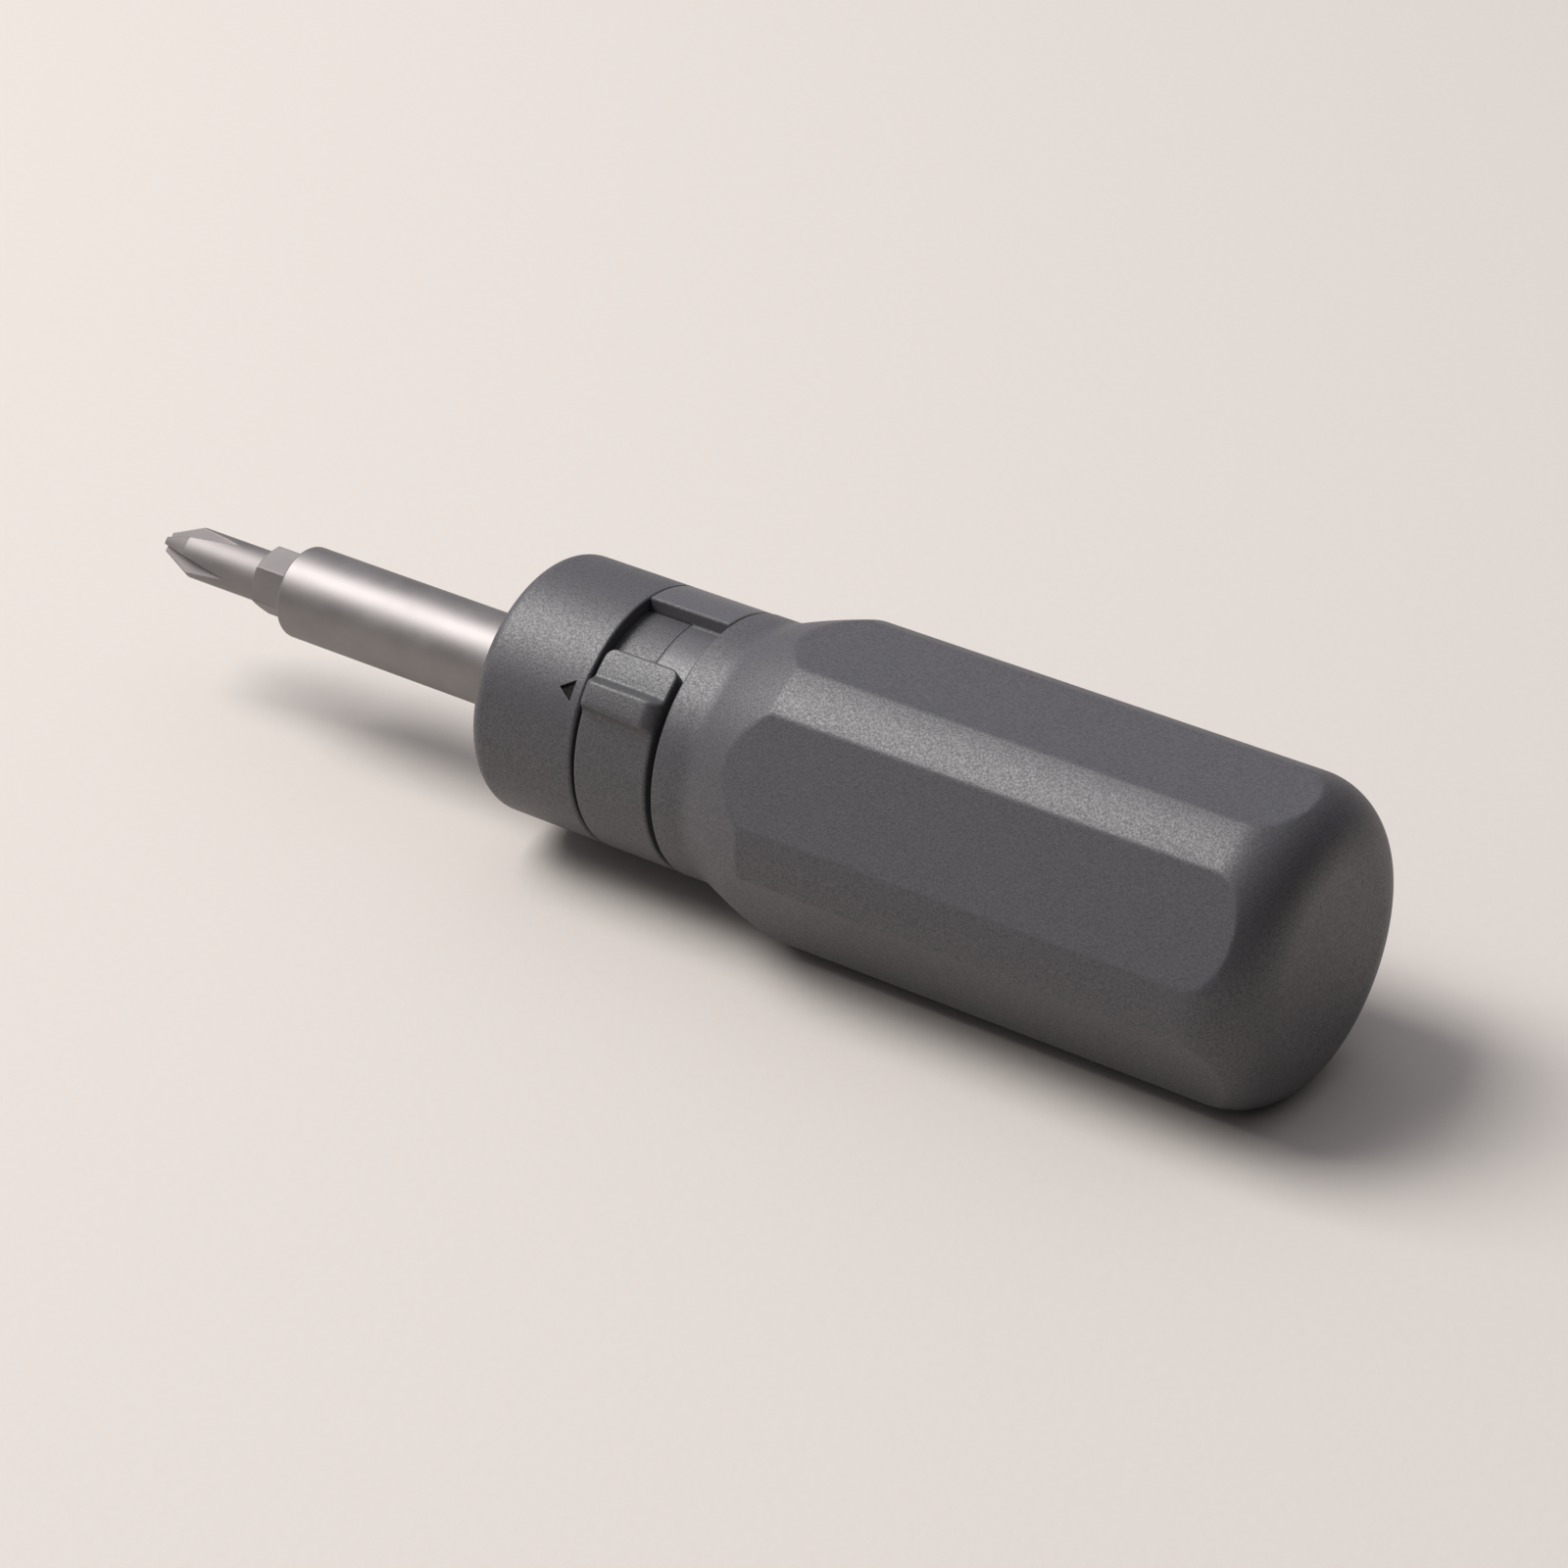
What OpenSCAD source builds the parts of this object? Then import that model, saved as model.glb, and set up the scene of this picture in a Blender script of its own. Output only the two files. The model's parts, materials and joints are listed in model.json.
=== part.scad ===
// Ratcheting screwdriver for hex insert bits, lying on one flat of its handle.
// Lengths are millimetres and angles are degrees.
// Every piece is drawn round an upright tool axis, z = 0 at the collar's rear edge,
// the bit below and the handle above. Around the axis an angle of 0 is the tool's
// far side, 90 its top and 180 its near side. lay_down() puts that axis along +X.

/* [Bit] */
// Width across the flats of the hex drive
hex_af = 6.35; // [6.25:0.05:6.45]
// Overall length of the insert bit
bit_len = 25; // [23:0.5:28]
// Length of the bit that stands out of the socket
bit_out = 18.4; // [16:0.1:20]
// Radius of the bit's round shank
bit_shank_r = 2.75; // [2.4:0.05:3.1]
// Radius of the bit's blunt tip
bit_tip_r = 1.1; // [0.8:0.05:1.4]
// Length of the tip's cone
bit_cone_len = 3.9; // [3:0.1:5]
// Length of the round part, from the tip to the hex
bit_round_len = 13.6; // [12:0.1:15]
// Distance from the axis to the bottom of a flute at the tip
flute_web = 0.55; // [0.4:0.05:0.7]
// Length over which a flute runs out to the shank's surface
flute_len = 9.6; // [8:0.2:11.4]
// Direction of one wing of the tip
wing_deg = 138.5; // [100:0.5:180]
// Direction of one corner of the hex
hex_corner_deg = 12.4; // [0:0.2:60]

/* [Shaft] */
// Radius of the bit holder
shaft_r = 4.9; // [4.7:0.05:5.1]
// Length of the bit holder ahead of the collar
shaft_out = 31.9; // [27:0.1:45]
// Radius of the edge round at the socket's mouth
shaft_edge = 0.4; // [0.2:0.05:0.6]
// Clearance of the bit in the hex socket, on each flat
socket_clear = 0.05; // [0.04:0.01:0.08]
// Radius of the magnet behind the bit
magnet_r = 2.4; // [2:0.1:2.6]
// Length of the magnet
magnet_len = 4; // [3:0.5:6]
// Radius of the shaft's rear journal
journal_r = 3.5; // [3.2:0.05:3.7]
// Length of the journal behind the ratchet gear
journal_len = 29; // [22:0.5:32]
// Radial clearance of each journal in its bush
running_clear = 0.04; // [0.03:0.01:0.06]

/* [Collar] */
// Radius of the nose collar and of the selector's skirt
collar_r = 13.45; // [13.3:0.05:13.8]
// Length of the collar ahead of the selector
collar_len = 12.7; // [9:0.1:16]
// Radius of the collar's front round
collar_round = 1.6; // [0.8:0.1:2.4]
// Depth of the engraved index mark
mark_depth = 0.3; // [0.2:0.05:0.5]

/* [Selector] */
// Length of the channel that the selector turns in
channel_len = 9.7; // [9.5:0.1:10.5]
// Depth of that channel below the collar's surface
channel_depth = 1.55; // [1.5:0.05:1.7]
// Gap between the collar and the selector
selector_front_gap = 0.4; // [0.3:0.05:0.75]
// Gap between the selector and the neck
selector_gap = 0.7; // [0.3:0.05:0.75]
// Radial clearance between the selector and the sleeve it turns on
selector_clear = 0.05; // [0.04:0.01:0.08]
// Turn of the selector to each side of its middle position
throw_deg = 28; // [25:1:31]
// Angle left free between the selector and its stop at each end
stop_clear_deg = 4; // [2:0.5:6]
// Direction of the thumb tab's free edge
tab_start_deg = 122; // [116:1:128]
// Angle that the tab's plate covers
tab_plate_deg = 13.5; // [11:0.5:15]
// Angle from the tab's free edge to its crest
tab_crest_deg = 17.5; // [16:0.5:19]
// Angle from the tab's free edge to the foot of its slope
tab_foot_deg = 29; // [25:1:32]
// Height of the tab's plate over the skirt
tab_plate_rise = 0.55; // [0.4:0.05:0.8]
// Height of the tab's crest over the skirt
tab_crest_rise = 1.7; // [1.3:0.1:2.3]
// Radius of the tab's corners
tab_corner = 1.5; // [0.8:0.1:2]

/* [Ratchet] */
// Number of teeth on the ratchet gear
gear_teeth = 36; // [32, 36, 40]
// Radius over the gear's teeth
gear_tip_r = 5.7; // [5.5:0.05:5.85]
// Depth of the gear's teeth
tooth_depth = 0.77; // [0.65:0.01:0.79]
// Length of the gear along the axis
gear_len = 7.6; // [7.2:0.1:7.8]
// Turn of a pawl to each side of its middle position
rock_deg = 5.5; // [5.5:0.1:5.9]
// Distance from the axis to the pawl pins
pin_circle_r = 8.2; // [8.1:0.05:8.3]
// Radius of the pawl pins
pin_r = 1; // [0.8:0.05:1.1]
// Direction that the two pawls are mirrored about
mech_deg = 235; // [231:1:239]

/* [Handle] */
// Radius of the round stretches of the handle
grip_r = 16.3; // [15.6:0.1:17.4]
// Depth of the six flats below the round stretches
flat_depth = 1.01; // [0.6:0.01:1.4]
// Length of the handle
handle_len = 67.5; // [62:0.5:80]
// Radius of the neck
neck_r = 13.5; // [13.3:0.05:14]
// Length of the straight neck
neck_len = 2.9; // [2:0.1:4]
// Length of the flare from the neck to the grip
flare_len = 9.15; // [7.5:0.05:11]
// Radius of the hollow where the flare leaves the neck
flare_hollow_r = 5.5; // [3:0.1:6]
// Radius of the flare's slight swelling, which meets the grip at a low edge
flare_full_r = 65; // [40:1:90]
// Radius of the rear rounding
rear_round = 6.8; // [4:0.1:8]
// Thickness of the handle's rear wall
rear_wall = 6.6; // [4:0.1:8]

/* [Hidden] */
$fn = 96;

// Overrun of every cut past the surface it opens
over = 1;
// Small clearance of seats and bonded joints
seat_clear = 0.02;
// Round on the outer edges of the collar, selector and neck
edge_round = 0.3;
// Gap left at the parting line and other hairlines
hairline = 0.06;
// Overlap of rounds that run smoothly into each other
blend = 0.004;

// Places along the axis, from the tip to the handle's rear face
collar_front = -collar_len;
shaft_front = collar_front - shaft_out;
bush_recess = 0.5;
tip_z = shaft_front - bit_out;
neck_front = channel_len;
rear_z = neck_front + handle_len;
parting_z = 5;
chamber_front = 0.4;
washer_t = 0.6;
end_float = 0.05;
gear_front = chamber_front + washer_t + end_float;
gear_back = gear_front + gear_len;
clip_t = 0.6;
clip_front = gear_back + end_float;
web_front = clip_front + clip_t + 2 * end_float;
web_t = 2;
web_back = web_front + web_t;

// Radii of the selector's sleeve and of the chamber inside it
floor_r = collar_r - channel_depth;
sleeve_wall = 1.6;

chamber_r = floor_r - sleeve_wall;
selector_in_r = floor_r + selector_clear;

// Directions of the selector's end and of the bridge between its stops
selector_end_deg = 2 * mech_deg - tab_start_deg;
bridge_from_deg = selector_end_deg + throw_deg + stop_clear_deg - 360;
bridge_to_deg = tab_start_deg - throw_deg - stop_clear_deg;

// Distance from the axis to a flat of the handle
flat_reach = grip_r - flat_depth;
flat_count = 6;
flat_deg = 30;

// Hex sizes: a corner lies this much further out than a flat
corner_ratio = 1 / cos(30);
bit_corner_r = hex_af / 2 * corner_ratio;
socket_corner_r = (hex_af / 2 + socket_clear) * corner_ratio;
bit_back = tip_z + bit_len;
magnet_gap = 0.1;
socket_floor = bit_back + magnet_gap;
bit_chamfer = 0.5;
mouth_chamfer = 0.5;

// Retaining ring in the socket
ring_wire_r = 0.33;
ring_proud_share = 0.15;
ring_mean_r = bit_corner_r + ring_proud_share * ring_wire_r;
ring_gap_deg = 50;
ring_place_share = 0.55;
ring_z = shaft_front + ring_place_share * (bit_len - bit_out);
ring_clear = 0.1;
ring_groove_r = ring_wire_r + ring_clear;

// Front journal, behind a shoulder just ahead of the collar
front_step = 0.3;
front_journal_r = shaft_r - front_step;
shoulder_gap = 0.1;
shoulder_z = collar_front - shoulder_gap;

// Hex drive, clip groove and end of the shaft
drive_step = 0.05;
drive_corner_r = (journal_r + drive_step) * corner_ratio;
clip_groove_depth = 0.4;
clip_groove_r = journal_r - clip_groove_depth;
clip_rim = 1.1;
clip_mouth_share = 0.8;
journal_back = gear_back + journal_len;
ball_r = 1.8;
ball_dimple = 0.4;
ball_z = journal_back + ball_r - ball_dimple;
plate_t = 1;
plate_front = ball_z + ball_r;
plate_back = plate_front + plate_t;

// Spigot that carries the housing in the handle's core
spigot_bore_gap = 0.4;
spigot_bore_r = journal_r + spigot_bore_gap;
spigot_r = 6.25;
cross_pin_r = 1.25;
cross_pin_land = 1.75;
cross_pin_z = plate_back + cross_pin_land + cross_pin_r;
spigot_back = cross_pin_z + cross_pin_r + cross_pin_land;
spigot_key_r = 8;
spigot_key_w = 3;
spigot_key_len = 22;

// Bushes and washer
shaft_gap = 0.35;
bush_wall = 1.15;
nose_bush_r = front_journal_r + running_clear + bush_wall;
rear_bush_r = journal_r + running_clear + bush_wall;
rear_bush_len = 11;
washer_lip = 0.4;
washer_r = nose_bush_r + washer_lip;

// Screws that join the collar to the ratchet housing, and the spigot's keys
screw_r = 1.05;
screw_head_r = 1.9;
screw_head_t = 1.2;
screw_reach = 3.5;
screw_drive_share = 0.9;
screw_socket_share = 0.6;
pillar_r = 1.9;
screw_side_deg = 125;
screw_degs = [mech_deg - screw_side_deg, mech_deg, mech_deg + screw_side_deg];
key_degs = [for (k = [-1.5, -0.5, 0.5]) mech_deg + k * screw_side_deg];

// Gear and pawls. The forward pawl is drawn, and the reverse pawl mirrors it.
// Both pawls have two teeth, and each tooth stands over a gap of the gear.
pitch_deg = 360 / gear_teeth;
gear_root_r = gear_tip_r - tooth_depth;
tooth_land_deg = 0.6;
nose_side_deg = 85;
nose_deg = mech_deg - round(2 * nose_side_deg / pitch_deg) * pitch_deg / 2;
far_nose_deg = nose_deg - pitch_deg;
pivot_lag_deg = 18;
tail_lag_deg = 26;
arm_lead_deg = 4;
pivot_deg = nose_deg + pivot_lag_deg;
tail_deg = pivot_deg + tail_lag_deg;
arm_start_deg = far_nose_deg - arm_lead_deg;
pawl_side_gap = 0.2;
pawl_front = gear_front + pawl_side_gap;
pawl_back = gear_back - pawl_side_gap;
pawl_hub_r = 1.8;
hub_blend_share = 0.86;
pin_clear = 0.05;
pin_seat = 1.5;
nose_clear = 0.08;
lift_clear = 0.06;
rock_rad = 2 * rock_deg * PI / 180;
near_lift = pin_circle_r * sin(pivot_deg - nose_deg) * rock_rad;
near_tip_r = gear_tip_r + lift_clear - near_lift;
far_tip_r = gear_root_r + nose_clear;
arm_gap = 0.35;
arm_in_r = gear_tip_r + arm_gap;
arm_relief = 0.15;
arm_taper = 0.2;
arm_out = 2;
arm_out_r = gear_tip_r + arm_out;
tail_arm_out = 1.3;
tail_arm_r = pin_circle_r + tail_arm_out;
tail_arm_in = 0.8;
tail_heel_r = pin_circle_r - tail_arm_in;
tail_heel_step = 0.3;

// Directions round the pawl's outline, from its teeth, its pivot and its tail
far_back_deg = 4.2;
far_front_deg = 3.9;
near_back_deg = 2.6;
near_front_deg = 3.2;
hub_side_deg = 8;
hub_under_deg = 2;
tail_top_deg = 7;
tail_heel_deg = 8;

// The tail follows a spiral cam inside the selector, at a steady rate
tail_r = 0.7;
tail_side_gap = 0.35;
tail_front = parting_z + tail_side_gap;
tail_back = pawl_back - tail_side_gap;
cam_clear = 0.05;
cam_skin = 0.62;
cam_side_gap = 0.25;
cam_swing = pin_circle_r * sin(tail_deg - pivot_deg) * rock_rad / 2;
cam_full_r = collar_r - cam_skin;
cam_mid_r = cam_full_r - cam_swing;
tail_reach = cam_full_r - cam_clear;
cam_margin_deg = 6;

// The tail also drifts round the axis as the pawl rocks, so its window is wider
tail_home = polar(floor_r, tail_deg);
pivot_at = polar(pin_circle_r, pivot_deg);
tail_lifted = pivot_at + turned(tail_home - pivot_at, 2 * rock_deg);
drift_deg = (atan2(tail_lifted[1], tail_lifted[0]) + 360) % 360 - tail_deg;
tail_mid_deg = tail_deg + drift_deg / 2;
window_gap = 0.7;
tail_window = 2 * tail_r + floor_r * drift_deg * PI / 180 + window_gap;

// Springs behind the pawl noses
spring_r = 0.8;
spring_wire_r = 0.16;
spring_turns = 5;
spring_shift = 0.25;
spring_z = (tail_front + tail_back) / 2 + spring_shift;
spring_lead_deg = 1;
spring_deg = (nose_deg + far_nose_deg) / 2 - spring_lead_deg;
spring_side_gap = 0.15;
spring_hole_r = spring_r + spring_wire_r + spring_side_gap;
spring_wall = 0.6;
spring_floor_r = floor_r - spring_wall;
spring_seat_step = 0.15;
spring_seat_r = arm_out_r + spring_seat_step;

// Detent: a leaf spring in the collar's sleeve, and three notches in the selector
detent_front = 1.3;
detent_back = 3.5;
detent_side_gap = 0.1;
detent_t = 0.24;
detent_ledge = 0.5;
detent_floor_r = chamber_r + detent_ledge;
detent_half_deg = 22;
detent_end_deg = 1;
detent_rise = 0.45;
detent_under = 0.1;
notch_deg = 5;
notch_floor_deg = 1;
notch_side_gap = 0.2;
notch_gap = 0.1;

// Bridge that closes the channel
bridge_root = 0.2;

// Bores in the handle's neck and grip, and the core inside them
neck_wall = 1.55;
neck_bore_r = neck_r - neck_wall;
grip_wall = 3.34;
grip_bore_r = flat_reach - grip_wall;
grip_bore_front = neck_front + neck_len + flare_len;
sleeve_fit = 0.05;
plug_r = neck_bore_r - sleeve_fit;
core_rib_rise = 0.45;
core_r = grip_bore_r - core_rib_rise;
core_ribs = 6;
core_rib_w = 2.4;
core_front = web_back + hairline;
core_end_gap = 0.3;
core_back = rear_z - rear_wall - core_end_gap;
core_wall = 3.1;
core_hollow_r = core_r - core_wall;
core_floor_t = 3;
core_hollow_front = spigot_back + core_floor_t;
core_web_t = 1.8;

// Colours
plastic_grey = [0.36, 0.36, 0.38];
steel_satin = [0.72, 0.71, 0.69];
steel_dark = [0.48, 0.47, 0.46];
bronze = [0.62, 0.47, 0.26];
core_grey = [0.2, 0.2, 0.21];

// Puts the upright tool axis along +X, at the height where a flat touches the ground
module lay_down() {
  translate([-(tip_z + rear_z) / 2, 0, flat_reach]) rotate([90, 0, 90]) children();
}

// Mirrors the forward pawl's side of the ratchet onto the reverse pawl's side
module other_side() {
  rotate(mech_deg) mirror([0, 1, 0]) rotate(-mech_deg) children();
}

// Draws its children on the forward side, or mirrored on the reverse side
module side_of(side) {
  if (side == 0) children();
  else other_side() children();
}

function polar(r, a) = [r * cos(a), r * sin(a)];

function turned(p, a) = [p[0] * cos(a) - p[1] * sin(a), p[0] * sin(a) + p[1] * cos(a)];

// A round bar between two places on the axis
module rod(r, z0, z1) {
  translate([0, 0, z0]) cylinder(r = r, h = z1 - z0);
}

// A round tube between two places on the axis
module tube(r_in, r_out, z0, z1) {
  difference() {
    rod(r_out, z0, z1);
    rod(r_in, z0 - over, z1 + over);
  }
}

// A hexagonal bar, with one corner in the direction of corner_deg
module hex_rod(corner_r, corner_deg, z0, z1) {
  translate([0, 0, z0]) linear_extrude(height = z1 - z0)
    polygon([for (k = [0:5]) polar(corner_r, corner_deg + 60 * k)]);
}

// A part of a tube, from one direction to another
module arc_band(a0, a1, r_in, r_out, z0, z1) {
  rotate_extrude(angle = a1 - a0, start = a0)
    translate([r_in, z0]) square([r_out - r_in, z1 - z0]);
}

// The same with both outer edges rounded
module soft_band(a0, a1, r_in, r_out, z0, z1, r) {
  rotate_extrude(angle = a1 - a0, start = a0) {
    translate([r_in, z0]) square([r_out - r_in - r, z1 - z0]);
    translate([r_in, z0 + r]) square([r_out - r_in, z1 - z0 - 2 * r]);
    for (z = [z0 + r, z1 - r]) translate([r_out - r, z]) circle(r = r);
  }
}

// Places children at a radius and direction, upright
module at(r, a) {
  translate([r * cos(a), r * sin(a), 0]) children();
}

// Points children's z axis outward in direction a, at the height z
module outward(a, z) {
  translate([0, 0, z]) rotate([0, 90, a]) children();
}

module phillips_bit() {
  hex_front = tip_z + bit_round_len;
  wide_r = 2 * bit_corner_r - bit_shank_r;
  rear_cone_len = wide_r - bit_corner_r + bit_chamfer;
  color(steel_dark) lay_down() difference() {
    union() {
      intersection() {
        hex_rod(bit_corner_r, hex_corner_deg, hex_front, bit_back);
        rotate_extrude() polygon([
          [0, hex_front], [bit_shank_r, hex_front],
          [wide_r, hex_front + 2 * bit_chamfer], [wide_r, bit_back - rear_cone_len],
          [bit_corner_r - bit_chamfer, bit_back], [0, bit_back]
        ]);
      }
      rotate_extrude() polygon([
        [0, tip_z], [bit_tip_r, tip_z], [bit_shank_r, tip_z + bit_cone_len],
        [bit_shank_r, hex_front + bit_chamfer], [0, hex_front + bit_chamfer]
      ]);
    }
    for (k = [0:3]) rotate(wing_deg + 45 + 90 * k) flute();
    translate([0, 0, ring_z]) rotate_extrude()
      translate([ring_mean_r, 0]) circle(r = ring_groove_r, $fn = 32);
  }
}

// A square-cornered groove whose bottom rises from flute_web to the shank's surface
module flute() {
  lean = atan((bit_shank_r - flute_web) / flute_len);
  side = 2 * bit_shank_r;
  translate([flute_web, 0, tip_z]) rotate([0, lean, 0]) translate([0, 0, -2 * over])
    linear_extrude(height = flute_len / cos(lean) + 3 * over) rotate(-45) square(side);
}

module bit_retaining_ring() {
  color(steel_satin) lay_down() translate([0, 0, ring_z])
    rotate_extrude(angle = 360 - ring_gap_deg, start = hex_corner_deg + ring_gap_deg)
      translate([ring_mean_r, 0]) circle(r = ring_wire_r, $fn = 32);
}

module socket_magnet() {
  color(steel_satin) lay_down() rod(magnet_r, socket_floor, socket_floor + magnet_len);
}

module bit_holder_shaft() {
  bar_len = shoulder_z - shaft_front;
  color(steel_satin) lay_down() difference() {
    union() {
      rotate_extrude() {
        translate([0, shaft_front]) square([shaft_r - shaft_edge, bar_len]);
        translate([0, shaft_front + shaft_edge]) square([shaft_r, bar_len - shaft_edge]);
        translate([shaft_r - shaft_edge, shaft_front + shaft_edge]) circle(r = shaft_edge);
        translate([0, shoulder_z - over]) square([front_journal_r, gear_front - shoulder_z + over]);
      }
      hex_rod(drive_corner_r, hex_corner_deg, gear_front - over, gear_back);
      rod(journal_r, gear_front, journal_back);
    }
    hex_rod(socket_corner_r, hex_corner_deg, shaft_front - over, socket_floor);
    socket_mouth();
    rod(magnet_r + seat_clear, socket_floor - over, socket_floor + magnet_len + hairline);
    rod(ring_mean_r + ring_groove_r, ring_z - ring_groove_r, ring_z + ring_groove_r);
    tube(clip_groove_r, journal_r + over, clip_front, clip_front + clip_t + end_float);
    translate([0, 0, ball_z]) sphere(r = ball_r + seat_clear);
  }
}

// Cone that leads the bit into the socket
module socket_mouth() {
  wide_r = socket_corner_r + over;
  narrow_r = socket_corner_r - mouth_chamfer;
  rotate_extrude() polygon([
    [0, shaft_front - over], [wide_r, shaft_front - over],
    [narrow_r, shaft_front + mouth_chamfer], [0, shaft_front + mouth_chamfer]
  ]);
}

module nose_collar() {
  color(plastic_grey) lay_down() difference() {
    union() {
      rotate_extrude() collar_section();
      tube(chamber_r, floor_r, -over, parting_z - hairline / 2);
      pillars(chamber_front - over, parting_z - hairline / 2);
    }
    rod(nose_bush_r + seat_clear, collar_front + bush_recess, chamber_front + over);
    rod(shaft_r + shaft_gap, collar_front - over, chamber_front);
    for (side = [0, 1]) side_of(side) at(pin_circle_r, pivot_deg)
      rod(pin_r + seat_clear, chamber_front - pin_seat, chamber_front + over);
    for (a = screw_degs) at(pin_circle_r, a) rod(screw_r + seat_clear, -screw_reach, parting_z);
    index_mark();
    detent_slot();
  }
}

// Half section of the collar's solid flange, with a rounded front and a fine rear edge
module collar_section() {
  side_len = collar_len - collar_round - edge_round;
  difference() {
    union() {
      translate([0, collar_front]) square([collar_r - collar_round, collar_len]);
      translate([0, collar_front + collar_round]) square([collar_r, side_len]);
      translate([collar_r - collar_round, collar_front + collar_round]) circle(r = collar_round);
      translate([collar_r - edge_round, -edge_round]) circle(r = edge_round);
      translate([0, -edge_round - over]) square([collar_r - edge_round, over + edge_round]);
      square([floor_r, chamber_front]);
    }
    translate([-over, -collar_len]) square([over, 2 * collar_len]);
  }
}

// Tubes round the screws, which carry the collar and the housing on each other
module pillars(z0, z1) {
  for (a = screw_degs) at(pin_circle_r, a) rod(pillar_r, z0, z1);
}

// Triangle pointing to the tip, across from the tab
module index_mark() {
  mark_place_share = 0.8;
  mark_half = 1.1;
  mark_len = 1.6;
  mark_edge = 1.2;
  outward(tab_start_deg + mark_place_share * tab_foot_deg, 0)
    translate([mark_edge, 0, collar_r - mark_depth]) linear_extrude(height = over)
      polygon([[mark_len, 0], [0, mark_half], [0, -mark_half]]);
}

// Slot for the detent leaf: a floor under the leaf's ends, open outward under the selector
module detent_slot() {
  half_deg = detent_half_deg + detent_end_deg;
  arc_band(
    mech_deg - half_deg, mech_deg + half_deg, detent_floor_r, floor_r + over,
    detent_front - detent_side_gap, detent_back + detent_side_gap
  );
}

module nose_bush() {
  color(bronze) lay_down()
    tube(
      front_journal_r + running_clear, nose_bush_r,
      collar_front + bush_recess, chamber_front - seat_clear
    );
}

module front_thrust_washer() {
  color(bronze) lay_down()
    tube(
      front_journal_r + running_clear, washer_r,
      chamber_front + seat_clear, chamber_front + washer_t
    );
}

module ratchet_gear() {
  color(steel_dark) lay_down() difference() {
    translate([0, 0, gear_front]) linear_extrude(height = gear_len) polygon([
      for (k = [0:gear_teeth - 1]) each tooth_points(nose_deg + (k + 0.5) * pitch_deg)
    ]);
    hex_rod(drive_corner_r + seat_clear, hex_corner_deg, gear_front - over, gear_back + over);
  }
}

// One tooth round the direction a, from the root before it to the root after it
function tooth_points(a) = [
  polar(gear_root_r, a - pitch_deg / 2 + tooth_land_deg), polar(gear_tip_r, a - tooth_land_deg),
  polar(gear_tip_r, a + tooth_land_deg), polar(gear_root_r, a + pitch_deg / 2 - tooth_land_deg)
];

module gear_retaining_clip() {
  clip_out_r = journal_r + clip_rim;
  clip_mouth = 2 * clip_groove_r * clip_mouth_share;
  color(steel_satin) lay_down() difference() {
    tube(clip_groove_r + seat_clear, clip_out_r, clip_front + seat_clear, clip_front + clip_t);
    translate([0, -clip_mouth / 2, clip_front - over])
      cube([clip_out_r + over, clip_mouth, clip_t + 2 * over]);
  }
}

// Outline of the forward pawl when its teeth are fully home in the gear
module pawl_body() {
  hub_in_r = pin_circle_r - pawl_hub_r;
  hub_out_r = pin_circle_r + pawl_hub_r;
  gap_r = arm_in_r - arm_relief;
  linear_extrude(height = pawl_back - pawl_front) {
    translate(polar(pin_circle_r, pivot_deg)) circle(r = pawl_hub_r);
    polygon(concat(
      [for (k = [0:8]) let (a = pivot_deg + (arm_start_deg - pivot_deg) * k / 8)
        polar(arm_back_r(a), a)],
      [
        polar(arm_in_r, far_nose_deg - far_back_deg), polar(far_tip_r, far_nose_deg),
        polar(gap_r, far_nose_deg + far_front_deg), polar(gap_r, nose_deg - near_back_deg),
        polar(near_tip_r, nose_deg), polar(arm_in_r, nose_deg + near_front_deg),
        polar(arm_in_r + arm_taper, pivot_deg - hub_side_deg), polar(hub_in_r, pivot_deg)
      ]
    ));
    polygon([
      polar(hub_out_r, pivot_deg),
      polar(pin_circle_r + pawl_hub_r * hub_blend_share, pivot_deg + hub_side_deg),
      polar(tail_arm_r, tail_deg - tail_top_deg), polar(tail_arm_r, tail_deg),
      polar(tail_heel_r, tail_deg),
      polar(tail_heel_r - tail_heel_step, tail_deg - tail_heel_deg),
      polar(hub_in_r, pivot_deg + hub_under_deg), polar(pin_circle_r, pivot_deg)
    ]);
    tail_bar(tail_heel_r, tail_arm_r);
  }
}

// Distance from the axis to the back of the pawl's arm, swelling towards the hub
function arm_back_r(a) = arm_out_r
  + (pin_circle_r + pawl_hub_r - arm_out_r)
    * pow((a - arm_start_deg) / (pivot_deg - arm_start_deg), 2);

// Flat outline of the pawl's tail between two radii
module tail_bar(r0, r1) {
  rotate(tail_deg) translate([r0, -tail_r]) square([r1 - r0, 2 * tail_r]);
}

// The finger that reaches through the sleeve to the selector's cam
module pawl_tail() {
  end_r = tail_reach - tail_r;
  linear_extrude(height = tail_back - tail_front) {
    translate(polar(end_r, tail_deg)) circle(r = tail_r);
    tail_bar(pin_circle_r, end_r);
  }
}

// The pawl at rest: half engaged, turned back by rock_deg from fully home,
// with a round seat for its spring faced into its back
module pawl_shape() {
  difference() {
    at(pin_circle_r, pivot_deg) rotate(rock_deg) at(-pin_circle_r, pivot_deg) union() {
      translate([0, 0, pawl_front]) pawl_body();
      translate([0, 0, tail_front]) pawl_tail();
    }
    at(pin_circle_r, pivot_deg) rod(pin_r + pin_clear, pawl_front - over, pawl_back + over);
    outward(spring_deg, spring_z) rod(spring_hole_r, spring_seat_r - seat_clear, chamber_r);
  }
}

module forward_pawl() {
  color(steel_dark) lay_down() pawl_shape();
}

module reverse_pawl() {
  color(steel_dark) lay_down() other_side() pawl_shape();
}

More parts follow.
